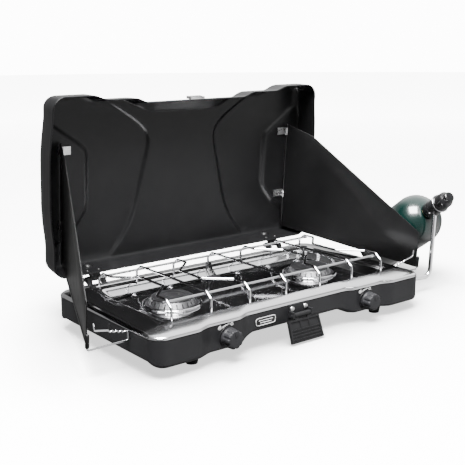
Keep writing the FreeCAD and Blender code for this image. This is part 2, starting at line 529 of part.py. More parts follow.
# ---------------------------------------------------------------- struts
leg_top = PF.multVec(V(EY, 9.0, 0))
leg_bot = PF.multVec(V(EY, -17.0, 0))
ZL = leg_bot.z
xin = W / 2 + 0.6 + 1.5
pts = [(leg_top.x, leg_top.y, leg_top.z), (leg_bot.x, leg_bot.y, leg_bot.z), (xin, -81.5, ZL + 1.0), (xin, -81.5, 57.6)]
arm0 = (xin, -81.5, 57.6)
def arm_pt(k):     # along the toothed arm, 0 at the wall, 1 at the tip
    return V(xin + (337.0 - xin) * k, -81.5, 57.6 + (70.5 - 57.6) * k)
pp = [V(*p) for p in pts]
tooth = []
for k in range(9):
    q = arm_pt(0.08 + 0.52 * k / 8.0)
    q = V(q.x, q.y, q.z + (1.1 if k % 2 == 0 else -1.1))
    tooth.append(q)
tip0 = arm_pt(1.0)
tip1 = V(tip0.x + 1.5, tip0.y, tip0.z + 12.0)
allp = [tuple(p) for p in pp] + [tuple(p) for p in tooth] + [tuple(tip0), tuple(tip1)]
bends = [3.0, 3.0, 2.6] + [2.0] * len(tooth) + [3.0]
strut = rod(allp, 1.5, bends)
save("strut_right", strut)
save("strut_left", mirror(strut))

# ---------------------------------------------------------------- fuel line and regulator
tube_pts = [(262.0, INLET_Y, INLET_Z), (300.0, INLET_Y, INLET_Z), (375.0, INLET_Y, 27.0), (383.0, INLET_Y, 149.5)]
tube = rod(tube_pts, 4.0, [40.0, 16.0])
save("fuel_tube", tube)
nut = prism([(8.0 * math.cos(math.radians(60 * k)), 8.0 * math.sin(math.radians(60 * k))) for k in range(6)], 0, 9)
nut.Placement = FreeCAD.Placement(V(286.0, INLET_Y, INLET_Z), FreeCAD.Rotation(V(0, 0, 1), V(1, 0, 0)))
nut = nut.cut(cyl((280, INLET_Y, INLET_Z), (1, 0, 0), 4.0, 30))
save("tube_nut", solid_of(nut))

az, dn = math.radians(BOTTLE_AZ), math.radians(BOTTLE_DOWN)
DIR = V(math.sin(az) * math.cos(dn), math.cos(az) * math.cos(dn), -math.sin(dn))
def on_axis(s):
    return REG + DIR * s
def turned(profile):
    return revolve(profile, tuple(REG), tuple(DIR))
body = turned([(0, -7.0), (15.6, -7.0), (15.6, 12.0), (16.6, 14.0), (16.6, 27.0), (15.0, 29.0), (12.0, 29.0), (12.0, 20.05), (0, 20.05)])
# boss where the tube enters
td = (REG - V(383.0, INLET_Y, 149.5))
u = V(td.x, td.y, td.z).normalize()
boss = Part.makeCylinder(6.6, 14.0, V(383.0, INLET_Y, 149.5) - u * 5.0, u)
body = body.fuse(boss).cut(tube)
body = body.cut(tube)
bs = sorted(body.Solids, key=lambda q: -q.Volume)
save("regulator_body", bs[0])
save("regulator_ring", turned([(12.0, -10.5), (17.4, -10.5), (17.8, -9.6), (17.8, -8.0), (17.4, -7.05), (12.0, -7.05)]))
save("regulator_cap", turned([(0, -42.0), (8.5, -42.0), (9.5, -41.0), (10.2, -34.0), (13.6, -31.0), (15.4, -28.0), (15.8, -10.55), (11.95, -10.55), (11.95, -7.5), (0, -7.5)]))
# threaded insert on the cylinder, cylinder and its foot ring
save("cylinder_valve", turned([(0, 20.4), (7.5, 20.4), (7.5, 24.0), (11.9, 24.0), (11.9, 33.5), (0, 33.5)]))
prof = [(0, 33.5), (15.0, 33.5), (17.0, 34.5), (24.0, 37.0), (33.0, 42.5), (41.0, 50.0), (46.5, 59.0), (49.0, 69.0), (BOTTLE_R, 76.0), (BOTTLE_R, 212.0), (48.2, 217.0), (44.0, 220.5), (0, 222.0)]
inner_prof = [(0, 35.0), (15.0, 35.0), (16.6, 35.9), (23.4, 38.3), (32.2, 43.7), (40.0, 51.0), (45.4, 59.6), (47.8, 69.3), (BOTTLE_R - 1.2, 76.2), (BOTTLE_R - 1.2, 211.8), (47.1, 216.2), (43.4, 219.4), (0, 220.8)]
save("fuel_cylinder", solid_of(turned(prof).cut(turned(inner_prof))))
save("cylinder_foot", turned([(44.5, 220.1), (47.8, 217.3), (49.0, 212.0), (BOTTLE_R + 0.8, 212.0), (BOTTLE_R + 0.8, 226.0), (48.6, 226.0), (48.6, 219.0), (44.5, 221.6)]).cut(turned(prof)))

print(len(NODES), "nodes")
b = Part.makeCompound(list(NODES.values())).BoundBox
print("box", [round(v, 1) for v in (b.XMin, b.XMax, b.YMin, b.YMax, b.ZMin, b.ZMax)])
print("lever", lvb.YMin, lvb.YMax, lvb.ZMin, lvb.ZMax)
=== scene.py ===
import math
import random
import bpy
import bmesh
import numpy as np
from mathutils import Vector, Matrix


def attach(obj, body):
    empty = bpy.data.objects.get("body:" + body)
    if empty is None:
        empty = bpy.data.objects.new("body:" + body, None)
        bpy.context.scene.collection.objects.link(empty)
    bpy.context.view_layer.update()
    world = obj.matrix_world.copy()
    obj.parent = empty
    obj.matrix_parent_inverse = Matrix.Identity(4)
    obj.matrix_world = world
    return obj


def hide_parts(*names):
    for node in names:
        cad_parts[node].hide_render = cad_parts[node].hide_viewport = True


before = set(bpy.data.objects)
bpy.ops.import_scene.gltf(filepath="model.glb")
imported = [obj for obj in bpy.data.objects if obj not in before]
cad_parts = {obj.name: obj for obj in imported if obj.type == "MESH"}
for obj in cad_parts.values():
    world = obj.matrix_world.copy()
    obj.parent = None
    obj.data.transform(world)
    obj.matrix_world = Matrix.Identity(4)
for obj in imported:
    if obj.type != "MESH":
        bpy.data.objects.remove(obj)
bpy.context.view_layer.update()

random.seed(7)
rng = np.random.default_rng(7)
scene = bpy.context.scene
MM = 0.001

# ------------------------------------------------------------------ materials
def new_mat(name):
    m = bpy.data.materials.new(name)
    m.use_nodes = True
    nt = m.node_tree
    nt.nodes.clear()
    out = nt.nodes.new("ShaderNodeOutputMaterial")
    p = nt.nodes.new("ShaderNodeBsdfPrincipled")
    nt.links.new(p.outputs["BSDF"], out.inputs["Surface"])
    tc = nt.nodes.new("ShaderNodeTexCoord")
    return m, nt, p, tc

def noise(nt, tc, scale, detail=4.0, rough=0.55, stretch=None):
    n = nt.nodes.new("ShaderNodeTexNoise")
    n.inputs["Scale"].default_value = scale
    n.inputs["Detail"].default_value = detail
    n.inputs["Roughness"].default_value = rough
    if stretch:
        mp = nt.nodes.new("ShaderNodeMapping")
        mp.inputs["Scale"].default_value = stretch
        nt.links.new(tc.outputs["Object"], mp.inputs["Vector"])
        nt.links.new(mp.outputs["Vector"], n.inputs["Vector"])
    else:
        nt.links.new(tc.outputs["Object"], n.inputs["Vector"])
    return n

def remap(nt, socket, lo, hi, a=0.3, b=0.7):
    r = nt.nodes.new("ShaderNodeMapRange")
    r.inputs["From Min"].default_value = a
    r.inputs["From Max"].default_value = b
    r.inputs["To Min"].default_value = lo
    r.inputs["To Max"].default_value = hi
    nt.links.new(socket, r.inputs["Value"])
    return r.outputs["Result"]

def surface(name, c0, c1, rough=(0.4, 0.5), metal=0.0, spec=0.5, fine=(900.0, 0.02), wide=14.0, coat=0.0,
            coat_rough=0.1, aniso=0.0, stretch=None, fine_detail=3.0, bump_d=0.0002, ior=1.5):
    """a finish with slow colour and roughness changes and a fine bump"""
    m, nt, p, tc = new_mat(name)
    w = noise(nt, tc, wide, 5.0)
    mix = nt.nodes.new("ShaderNodeMix")
    mix.data_type = "RGBA"
    mix.inputs["A"].default_value = (*c0, 1)
    mix.inputs["B"].default_value = (*c1, 1)
    nt.links.new(remap(nt, w.outputs["Fac"], 0.0, 1.0, 0.35, 0.65), mix.inputs["Factor"])
    nt.links.new(mix.outputs["Result"], p.inputs["Base Color"])
    f = noise(nt, tc, fine[0], fine_detail, 0.6, stretch)
    g = noise(nt, tc, wide * 3.1, 4.0)
    add = nt.nodes.new("ShaderNodeMath")
    add.operation = "ADD"
    add.inputs[1].default_value = 0.0
    half = nt.nodes.new("ShaderNodeMath")
    half.operation = "MULTIPLY_ADD"
    half.inputs[1].default_value = 0.5
    nt.links.new(f.outputs["Fac"], half.inputs[0])
    nt.links.new(remap(nt, g.outputs["Fac"], 0.0, 0.5, 0.3, 0.7), half.inputs[2])
    nt.links.new(remap(nt, half.outputs["Value"], rough[0], rough[1], 0.2, 0.8), p.inputs["Roughness"])
    b = nt.nodes.new("ShaderNodeBump")
    b.inputs["Strength"].default_value = fine[1]
    b.inputs["Distance"].default_value = bump_d
    nt.links.new(f.outputs["Fac"], b.inputs["Height"])
    nt.links.new(b.outputs["Normal"], p.inputs["Normal"])
    p.inputs["Metallic"].default_value = metal
    p.inputs["Specular IOR Level"].default_value = spec
    p.inputs["IOR"].default_value = ior
    p.inputs["Coat Weight"].default_value = coat
    p.inputs["Coat Roughness"].default_value = coat_rough
    p.inputs["Anisotropic"].default_value = aniso
    return m

M = {
    # painted shade: enamel_lid and enamel_panel are darker copies of the base's black enamel, set darker to stand in
    # for the shade on the lid and the wind panels
    "enamel": surface("satin_black_enamel", (0.0056, 0.0056, 0.0061), (0.0072, 0.0072, 0.0078), (0.38, 0.48), spec=0.105, fine=(1500.0, 0.10), bump_d=0.0001),
    "enamel_lid": surface("lid_enamel", (0.0027, 0.0027, 0.0029), (0.0036, 0.0036, 0.0038), (0.30, 0.38), spec=0.125, fine=(1500.0, 0.10), bump_d=0.0001),
    "enamel_panel": surface("panel_enamel", (0.0016, 0.0016, 0.0017), (0.0022, 0.0022, 0.0023), (0.34, 0.42), spec=0.12, fine=(1500.0, 0.10), bump_d=0.0001),
    "tray": surface("polished_tray", (0.54, 0.54, 0.55), (0.51, 0.51, 0.52), (0.06, 0.085), metal=1.0, fine=(260.0, 0.001), stretch=(1.0, 14.0, 14.0), wide=9.0, bump_d=0.0001),
    "chrome": surface("chrome_wire", (0.46, 0.46, 0.47), (0.38, 0.38, 0.39), (0.05, 0.12), metal=1.0, fine=(700.0, 0.05), wide=40.0, bump_d=0.0001),
    "ring": surface("ring_chrome", (0.44, 0.44, 0.45), (0.36, 0.36, 0.37), (0.05, 0.09), metal=1.0, fine=(500.0, 0.04), wide=30.0, bump_d=0.0001),
    "alu": surface("burner_aluminium", (0.20, 0.20, 0.205), (0.085, 0.085, 0.088), (0.28, 0.46), metal=1.0, fine=(850.0, 0.35), wide=55.0, bump_d=0.0003),
    "dark": surface("burner_cap_dark", (0.0035, 0.0035, 0.0038), (0.0060, 0.0060, 0.0064), (0.30, 0.48), spec=0.16, fine=(600.0, 0.18), wide=40.0, bump_d=0.0002),
    "zinc": surface("zinc_steel", (0.46, 0.46, 0.46), (0.32, 0.32, 0.32), (0.22, 0.38), metal=1.0, fine=(600.0, 0.12), wide=60.0, bump_d=0.0002),
    "tube": surface("tube_chrome", (0.80, 0.80, 0.81), (0.72, 0.72, 0.73), (0.06, 0.10), metal=1.0, fine=(500.0, 0.02), wide=30.0, bump_d=0.0001),
    "gloss": surface("regulator_gloss", (0.0030, 0.0030, 0.0033), (0.0040, 0.0040, 0.0043), (0.16, 0.26), spec=0.35, fine=(1800.0, 0.08), wide=60.0, coat=0.3, coat_rough=0.1),
    "brass": surface("valve_brass", (0.40, 0.31, 0.15), (0.32, 0.24, 0.11), (0.25, 0.38), metal=1.0, fine=(600.0, 0.10), wide=60.0),
    "plastic": surface("black_plastic", (0.0066, 0.0066, 0.0074), (0.0090, 0.0090, 0.0098), (0.38, 0.52), spec=0.12, fine=(2200.0, 0.22), wide=50.0),
    "flap": surface("flap_plastic", (0.0040, 0.0040, 0.0042), (0.0054, 0.0054, 0.0057), (0.34, 0.48), spec=0.09, fine=(2200.0, 0.22), wide=50.0),
    "rubber": surface("black_rubber", (0.0030, 0.0030, 0.0030), (0.0050, 0.0050, 0.0050), (0.65, 0.80), spec=0.05, fine=(1800.0, 0.3), wide=60.0),
    "green": surface("green_enamel", (0.0005, 0.0052, 0.0043), (0.0007, 0.0066, 0.0054), (0.22, 0.30), spec=0.24, fine=(420.0, 0.01), wide=20.0, coat=0.7, coat_rough=0.10),
    "footring": surface("cylinder_foot_grey", (0.012, 0.0125, 0.0125), (0.017, 0.0175, 0.0175), (0.45, 0.6), spec=0.12, fine=(1500.0, 0.2), wide=50.0),
    "ink": surface("white_print", (0.30, 0.30, 0.30), (0.25, 0.25, 0.25), (0.45, 0.6), spec=0.1, fine=(2500.0, 0.2), wide=90.0),
    "badge": surface("badge_face", (0.0035, 0.0035, 0.0038), (0.0048, 0.0048, 0.0052), (0.30, 0.40), spec=0.12, fine=(1800.0, 0.15), wide=60.0),
}

def brushed_band(m, half_x, half_y, extra):
    """adds roughness outside a rectangle, for the worn outer band of the tray"""
    nt = m.node_tree
    p = next(n for n in nt.nodes if n.type == "BSDF_PRINCIPLED")
    tc = next(n for n in nt.nodes if n.type == "TEX_COORD")
    sep = nt.nodes.new("ShaderNodeSeparateXYZ")
    nt.links.new(tc.outputs["Object"], sep.inputs["Vector"])
    outs = []
    for axis, half in (("X", half_x), ("Y", half_y)):
        ab = nt.nodes.new("ShaderNodeMath")
        ab.operation = "ABSOLUTE"
        nt.links.new(sep.outputs[axis], ab.inputs[0])
        outs.append(remap(nt, ab.outputs["Value"], 0.0, extra, half - 0.002, half + 0.004))
    mx = nt.nodes.new("ShaderNodeMath")
    mx.operation = "MAXIMUM"
    nt.links.new(outs[0], mx.inputs[0])
    nt.links.new(outs[1], mx.inputs[1])
    old = p.inputs["Roughness"].links[0].from_socket
    ad = nt.nodes.new("ShaderNodeMath")
    ad.operation = "ADD"
    nt.links.new(old, ad.inputs[0])
    nt.links.new(mx.outputs["Value"], ad.inputs[1])
    nt.links.new(ad.outputs["Value"], p.inputs["Roughness"])
brushed_band(M["tray"], 0.300, 0.115, 0.11)

# ------------------------------------------------------------------ mesh helpers
def build(name, verts, faces, material, body, replaces=(), outward=True, merge=0.0, sharp=None):
    bm = bmesh.new()
    vs = [bm.verts.new((v[0] * MM, v[1] * MM, v[2] * MM)) for v in verts]
    for f in faces:
        try:
            bm.faces.new([vs[i] for i in f])
        except ValueError:
            pass
    if merge:
        bmesh.ops.remove_doubles(bm, verts=bm.verts, dist=merge * MM)
        bmesh.ops.dissolve_degenerate(bm, dist=1e-7, edges=bm.edges)
    if outward:
        bmesh.ops.recalc_face_normals(bm, faces=bm.faces)
    me = bpy.data.meshes.new(name)
    bm.to_mesh(me)
    bm.free()
    me.polygons.foreach_set("use_smooth", [True] * len(me.polygons))
    if sharp is not None:
        me.set_sharp_from_angle(angle=math.radians(sharp))
    me.materials.append(material)
    o = bpy.data.objects.new(name, me)
    scene.collection.objects.link(o)
    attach(o, body)
    if replaces:
        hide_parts(*replaces)
    return o

class Bag:
    """collects verts and faces of several shapes into one mesh"""
    def __init__(self):
        self.v, self.f = [], []
    def add(self, v, f):
        n = len(self.v)
        self.v += [tuple(p) for p in v]
        self.f += [[i + n for i in q] for q in f]
        return self

def basis(axis, up=None):
    a = Vector(axis).normalized()
    h = Vector(up) if up else (Vector((0, 0, 1)) if abs(a.z) < 0.9 else Vector((1, 0, 0)))
    x = (h - a * h.dot(a)).normalized()
    y = a.cross(x)
    return x, y, a

def rounded(pts, radius, n=4, closed=True):
    """2D or 3D polyline with its corners rounded"""
    out = []
    N = len(pts)
    P = [np.array(p, float) for p in pts]
    for i in range(N):
        if not closed and i in (0, N - 1):
            out.append(tuple(P[i]))
            continue
        a, b, c = P[i - 1], P[i], P[(i + 1) % N]
        la, lc = np.linalg.norm(a - b), np.linalg.norm(c - b)
        r = radius[i] if isinstance(radius, (list, tuple)) else radius
        t = min(r, 0.45 * la, 0.45 * lc)
        if t < 1e-6:
            out.append(tuple(b))
            continue
        p, q = b + (a - b) / la * t, b + (c - b) / lc * t
        for k in range(n + 1):
            s = k / n
            out.append(tuple((1 - s) ** 2 * p + 2 * s * (1 - s) * b + s * s * q))
    return out

def lathe(profile, origin, axis, segs=96, closed=True, flute=None):
    """turns (radius, along) about an axis; flute(angle, along, radius) may change the radius"""
    x, y, a = basis(axis)
    o = Vector(origin)
    v, f = [], []
    n = len(profile)
    for k in range(segs):
        t = 2 * math.pi * k / segs
        d = x * math.cos(t) + y * math.sin(t)
        for r, s in profile:
            rr = flute(t, s, r) if flute else r
            v.append(tuple(o + d * rr + a * s))
    last = n if closed else n - 1
    for k in range(segs):
        k2 = (k + 1) % segs
        for i in range(last):
            j = (i + 1) % n
            f.append([k * n + i, k2 * n + i, k2 * n + j, k * n + j])
    return v, f

def sweep(points, r, segs=14, closed=False, cap=True):
    """round wire along points"""
    P = [Vector(p) for p in points]
    v, f = [], []
    n = len(P)
    prev = None
    for i, p in enumerate(P):
        if closed:
            t = (P[(i + 1) % n] - P[i - 1]).normalized()
        else:
            t = (P[min(i + 1, n - 1)] - P[max(i - 1, 0)]).normalized()
        if prev is None:
            x, y, _ = basis(t)
        else:
            x = (prev - t * prev.dot(t)).normalized()
            y = t.cross(x)
        prev = x
        for k in range(segs):
            a = 2 * math.pi * k / segs
            v.append(tuple(p + x * (r * math.cos(a)) + y * (r * math.sin(a))))
    m = n if closed else n - 1
    for i in range(m):
        i2 = (i + 1) % n
        for k in range(segs):
            k2 = (k + 1) % segs
            f.append([i * segs + k, i * segs + k2, i2 * segs + k2, i2 * segs + k])
    if cap and not closed:
        for i, s in ((0, -1), (n - 1, 1)):
            t = (P[1] - P[0]).normalized() * -1 if i == 0 else (P[-1] - P[-2]).normalized()
            c = len(v)
            ring = [i * segs + k for k in range(segs)]
            mids = []
            for k in range(segs):
                q = Vector(v[ring[k]])
                v.append(tuple(P[i] + (q - P[i]) * 0.72 + t * (r * 0.38)))
                mids.append(len(v) - 1)
            v.append(tuple(P[i] + t * (r * 0.5)))
            top = len(v) - 1
            for k in range(segs):
                k2 = (k + 1) % segs
                f.append([ring[k], ring[k2], mids[k2], mids[k]])
                f.append([mids[k], mids[k2], top])
    return v, f

def slab(pts2, h0, h1, frame3, edge=0.35):
    """flat plate with rounded-over edges: pts2 in (a, b), h along the third direction"""
    o, ax, ay, an = [Vector(q) for q in frame3]
    cen = np.mean(np.array(pts2), axis=0)
    P = np.array(pts2, float)
    n = len(P)
    nx = np.roll(P, -1, 0) - np.roll(P, 1, 0)
    nrm = np.stack([nx[:, 1], -nx[:, 0]], 1)
    nrm /= np.linalg.norm(nrm, axis=1)[:, None] + 1e-12
    area = 0.5 * np.sum(P[:, 0] * np.roll(P[:, 1], -1) - np.roll(P[:, 0], -1) * P[:, 1])
    if area < 0:
        nrm = -nrm
    e = min(edge, abs(h1 - h0) * 0.45)
    rows = [(e, h0), (0.3 * e, h0 + 0.3 * e * math.copysign(1, h1 - h0)), (0.0, h0 + e * math.copysign(1, h1 - h0)),
            (0.0, h1 - e * math.copysign(1, h1 - h0)), (0.3 * e, h1 - 0.3 * e * math.copysign(1, h1 - h0)), (e, h1)]
    v, f = [], []
    for ins, h in rows:
        for p, q in zip(P, nrm):
            s = p - q * ins
            v.append(tuple(o + ax * s[0] + ay * s[1] + an * h))
    for i in range(len(rows) - 1):
        for k in range(n):
            k2 = (k + 1) % n
            f.append([i * n + k, i * n + k2, (i + 1) * n + k2, (i + 1) * n + k])
    f.append(list(range(n)))
    f.append([(len(rows) - 1) * n + k for k in range(n)])
    return v, f

# ------------------------------------------------------------------ pan shapes: loops and a filled middle
W, D, LEN = 560.0, 304.0, 303.0
def smooth_interp(x, xs, ys, w=5.0):
    acc = 0
    ks = np.linspace(-1, 1, 11)
    for k in ks:
        acc = acc + np.interp(x + k * w, xs, ys)
    return acc / len(ks)

def wave(x):
    return smooth_interp(np.abs(x), [104, 124, 182, 204], [16, 8, 8, 0], 5.0)

def bulge(v):
    return smooth_interp(v, [38, 70, 100, 185, 215, 250], [0, 4.2, 6.6, 6.6, 4.6, 0], 9.0)

def outline(d, hw, y0, y1, rc, nf, ns, na=6, wv=1.0, bg=None, rmin=4.0):
    """closed outline from the middle of the front left corner; same count at every inset"""
    r = max(rc - d, rmin)
    hx, a, b = hw - d, y0 + d, y1 - d
    def arc(cx, cy, a0, a1, ends=(True, False)):
        t = np.radians(np.linspace(a0, a1, na + 1))
        p = np.stack([cx + r * np.cos(t), cy + r * np.sin(t)], 1)
        return p[:-1]
    def line(p, q, n):
        t = np.linspace(0, 1, n + 1)[:, None]
        return (np.array(p) * (1 - t) + np.array(q) * t)[:-1]
    fr = line((-hx + r, a), (hx - r, a), nf)
    fr[:, 1] += wv * wave(fr[:, 0])
    rt = line((hx, a + r), (hx, b - r), ns)
    bk = line((hx - r, b), (-hx + r, b), nf)
    lf = line((-hx, b - r), (-hx, a + r), ns)
    if bg is not None:
        rt[:, 0] += bg(rt[:, 1])
        lf[:, 0] -= bg(lf[:, 1])
    return np.vstack([arc(-hx + r, a + r, 225, 270), fr, arc(hx - r, a + r, 270, 315),
                      arc(hx - r, a + r, 315, 360), rt, arc(hx - r, b - r, 0, 45),
                      arc(hx - r, b - r, 45, 90), bk, arc(-hx + r, b - r, 90, 135),
                      arc(-hx + r, b - r, 135, 180), lf, arc(-hx + r, a + r, 180, 225)])

def fill(loop, n, m):
    """surface patch inside a loop whose sides have n and m steps"""
    F = loop[0:n + 1]
    Rr = loop[n:n + m + 1]
    B = loop[n + m:2 * n + m + 1][::-1]
    L = np.vstack([loop[2 * n + m:], loop[:1]])[::-1]
    u = np.linspace(0, 1, n + 1)[:, None, None]
    v = np.linspace(0, 1, m + 1)[None, :, None]
    S = (1 - v) * F[:, None] + v * B[:, None] + (1 - u) * L[None] + u * Rr[None]
    S -= (1 - u) * (1 - v) * F[0] + u * (1 - v) * F[-1] + (1 - u) * v * B[0] + u * v * B[-1]
    return S

def pan(loops, patch_loop, patch_h, nf, ns, na=6, drop=None):
    """loops: (N,3) arrays from the rim inwards; the last one bounds the patch. Returns verts and faces."""
    N = len(loops[0])
    V_ = [tuple(p) for lp in loops for p in lp]
    Fc = []
    for i in range(len(loops) - 1):
        for k in range(N):
            k2 = (k + 1) % N
            Fc.append([i * N + k, i * N + k2, (i + 1) * N + k2, (i + 1) * N + k])
    n, m = nf + 2 * na, ns + 2 * na
    S = fill(patch_loop, n, m)
    base = (len(loops) - 1) * N
    idx = -np.ones((n + 1, m + 1), int)
    for i in range(n + 1):
        idx[i, 0] = base + i
        idx[i, m] = base + 2 * n + m - i
    for j in range(m + 1):
        idx[n, j] = base + n + j
        idx[0, j] = base + (2 * n + 2 * m - j) % N
    idx[0, 0] = base
    inner = S[1:-1, 1:-1].reshape(-1, 2)
    P3 = patch_h(inner)
    first = len(V_)
    V_ += [tuple(p) for p in P3]
    idx[1:-1, 1:-1] = first + np.arange(len(inner)).reshape(n - 1, m - 1)
    for i in range(n):
        for j in range(m):
            q = [idx[i, j], idx[i + 1, j], idx[i + 1, j + 1], idx[i, j + 1]]
            if drop is not None and drop(S[i, j], S[i + 1, j], S[i + 1, j + 1], S[i, j + 1]):
                continue
            Fc.append([int(t) for t in q])
    return V_, Fc

def curve(points, count):
    """smooth curve through points (Catmull-Rom), as count samples"""
    P = np.array(points, float)
    P = np.vstack([2 * P[0] - P[1], P, 2 * P[-1] - P[-2]])
    out = []
    n = len(P) - 3
    for s in np.linspace(0, n - 1e-9, count):
        i = int(s)
        t = s - i
        a, b, c, d = P[i], P[i + 1], P[i + 2], P[i + 3]
        out.append(0.5 * (2 * b + (c - a) * t + (2 * a - 5 * b + 4 * c - d) * t * t + (3 * b - a - 3 * c + d) * t ** 3))
    return out

def solidify(o, t, offset=-1.0):
    md = o.modifiers.new("sheet", "SOLIDIFY")
    md.thickness = t * MM
    md.offset = offset
    md.use_even_offset = False
    return o

def sd_poly(P, poly):
    """signed distance to a polygon, positive inside"""
    poly = np.array(poly, float)
    d = np.full(len(P), 1e9)
    inside = np.zeros(len(P), bool)
    j = len(poly) - 1
    for i in range(len(poly)):
        a, b = poly[j], poly[i]
        e = b - a
        w = P - a
        t = np.clip((w @ e) / (e @ e), 0, 1)
        d = np.minimum(d, np.linalg.norm(w - t[:, None] * e, axis=1))
        c = ((a[1] > P[:, 1]) != (b[1] > P[:, 1])) & (P[:, 0] < (b[0] - a[0]) * (P[:, 1] - a[1]) / (b[1] - a[1] + 1e-12) + a[0])
        inside ^= c
        j = i
    return np.where(inside, d, -d)

def step(x):
    x = np.clip(x, 0, 1)
    return x * x * (3 - 2 * x)

# ------------------------------------------------------------------ lid
TH = math.radians(85)
LO = Vector((0, 152, 81.5))
EX, EV, ED = Vector((1, 0, 0)), Vector((0, -math.cos(TH), math.sin(TH))), Vector((0, math.sin(TH), math.cos(TH)))
def lid_pt(x, v, d):
    return LO + EX * x + EV * v + ED * d
def lid_arr(P, d):
    P = np.asarray(P, float)
    d = np.broadcast_to(np.asarray(d, float), (len(P),))
    return np.array(LO)[None] + P[:, :1] * np.array(EX) + P[:, 1:2] * np.array(EV) + d[:, None] * np.array(ED)

HW_V = [-5, 8, 25, 45, 66, 88, 118, 150, 172, 190, 202, 211, 222, 232, 247, 268, 290, 303]
HW_X = [163, 152, 137, 121, 109, 100.5, 92.5, 85, 79.5, 75, 72.5, 71.5, 73.5, 79, 95, 127, 165, 190]
C_POLY = [(330, 262), (278, 262), (258, 250), (206, 213), (198, 205), (195, 196), (195, 114), (198, 100), (206, 86), (223, 66), (262, 40), (330, 34)]
NOTCH = [(-128, 310), (-120, 287), (-84, 267.5), (-66, 262.5), (66, 262.5), (84, 267.5), (120, 287), (128, 310)]

def lid_depth(P, d):
    """pressed shapes on top of the plain depth d"""
    x, v = P[:, 0], P[:, 1]
    hw = smooth_interp(v, HW_V, HW_X, 5.0)
    dv = (smooth_interp(v + 1, HW_V, HW_X, 5.0) - smooth_interp(v - 1, HW_V, HW_X, 5.0)) / 2
    dist = (hw - np.abs(x)) / np.sqrt(1 + dv * dv)
    wide = 8.2 - 2.4 * np.exp(-((v - 212) / 16.0) ** 2)
    lim = 52.6 - 4.6 * step(dist / wide + 0.5)
    c = sd_poly(np.stack([np.abs(x), v], 1), C_POLY)
    lim = lim - np.where(np.abs(x) > 150, 5.4 * step(c / 11.0 + 0.5), 0)
    nd = sd_poly(P, NOTCH)
    scoop = 47.6 - 1.2 * step(nd / 2.0) - np.clip(nd, 0, None) * 0.42
    lim = np.where(nd > 0, np.minimum(lim, scoop), lim)
    k = 0.7
    return -k * np.logaddexp(-np.asarray(d) / k, -lim / k)

NF, NS = 230, 112
prof = curve([(0, 0), (0.35, 8), (1.0, 20), (1.7, 30), (2.6, 38), (4.6, 44.2), (7.6, 47.8), (12.0, 50.2), (18.0, 51.7), (26.0, 52.5), (34.0, 52.8)], 40)
rimp = [(2.1, 4.6), (2.25, 2.6), (2.0, 1.0), (1.3, 0.25), (0.6, 0.3), (0.12, 0.9), (0.0, 2.0), (0.05, 4.0)]
loops = []
def lid_loop(ins, dep):
    p = outline(ins, W / 2, 0, LEN, 23.0, NF, NS, wv=1.0 + 0.2 * min(1, dep / 45.0), bg=bulge)
    q = p.copy()
    q[:, 1] = LEN - p[:, 1]
    return q
lid_stack = []
for ins, dep in rimp + [tuple(t) for t in prof if t[1] > 5]:
    q = lid_loop(ins, dep)
    dd = np.full(len(q), dep) if dep < 30 else lid_depth(q, np.full(len(q), dep))
    lid_stack.append(lid_arr(q, dd))
last2 = lid_loop(*prof[-1])
lv, lf_ = pan(lid_stack, last2, lambda P: lid_arr(P, lid_depth(P, np.full(len(P), 52.8) + 0.0)), NF, NS)
lid = build("lid_pressed_shell", lv, lf_, M["enamel_lid"], "lid", ["lid_shell"])
solidify(lid, 0.9)

# small domes over the hinges, inside the lid, and their rivets
bag = Bag()
for sx in (-1, 1):
    for q in (-11, 11):
        p = lid_pt(sx * 200 + q, 1.2, 16.0)
        bag.add(*lathe(rounded([(0, -0.6), (4.4, -0.6), (4.4, 0.3), (3.2, 1.7), (0, 2.3)], 0.8, 3, closed=False), p, EV, 28, closed=False))
build("lid_hinge_rivets", bag.v, bag.f, M["enamel_lid"], "lid", merge=0.02)
bag = Bag()
for sx in (-1, 1):
    p = lid_pt(sx * 200, 0.6, 36.0)
    x, y, a = basis(EV)
    for_v, for_f = lathe([(10.5, 0.0), (9.6, 2.6), (7.4, 5.0), (4.4, 6.6), (0.0, 7.1)], p, EV, 36, closed=False)
    bag.add(for_v, for_f)
build("lid_hinge_dimples", bag.v, bag.f, M["enamel_lid"], "lid", merge=0.02)

# ------------------------------------------------------------------ tray
BX = 150.0
nf2, ns2 = 190, 100
P0 = outline(0.0, W / 2, -D / 2, D / 2, 23.0, nf2, ns2)
def rim_loop(dx, r=16.0):
    q = outline(0.0, 240.0 - dx, -117.0 + dx, 117.0 - dx, r, nf2, ns2, wv=0.0)
    return q
Q0 = rim_loop(0.0)
def mix(s):
    return P0 * (1 - s) + Q0 * s
def lift(p, z):
    return np.column_stack([p, np.full(len(p), z)])
stack = []
Pout = outline(-0.5, W / 2, -D / 2, D / 2, 23.0, nf2, ns2)
Pin = outline(0.5, W / 2, -D / 2, D / 2, 23.0, nf2, ns2)
stack += [lift(Pin, 59.5), lift(P0, 59.2), lift(Pout, 59.5), lift(Pout, 60.4)]
crown = curve([(0.0, 61.2), (0.012, 62.3), (0.045, 63.6), (0.10, 64.9), (0.20, 66.2), (0.34, 67.4), (0.52, 68.6), (0.70, 69.6), (0.86, 70.3), (0.95, 70.6)], 26)
for s, z in crown:
    stack.append(lift(mix(s), z))
for s, z in ((0.98, 70.7), (1.0, 70.6)):
    stack.append(lift(mix(s), z))
well = [(0.8, 70.2), (1.5, 69.5), (3.2, 68.5), (6.0, 67.2), (8.8, 65.9), (10.4, 64.7), (12.5, 62.4), (15.5, 59.2), (18.5, 56.0), (20.4, 54.2), (21.6, 53.3), (23.2, 53.0), (26.0, 52.95)]
for dx, z in well:
    stack.append(lift(rim_loop(dx, 16.0 if dx < 9 else 15.0), z))
floor_loop = rim_loop(26.0, 15.0)
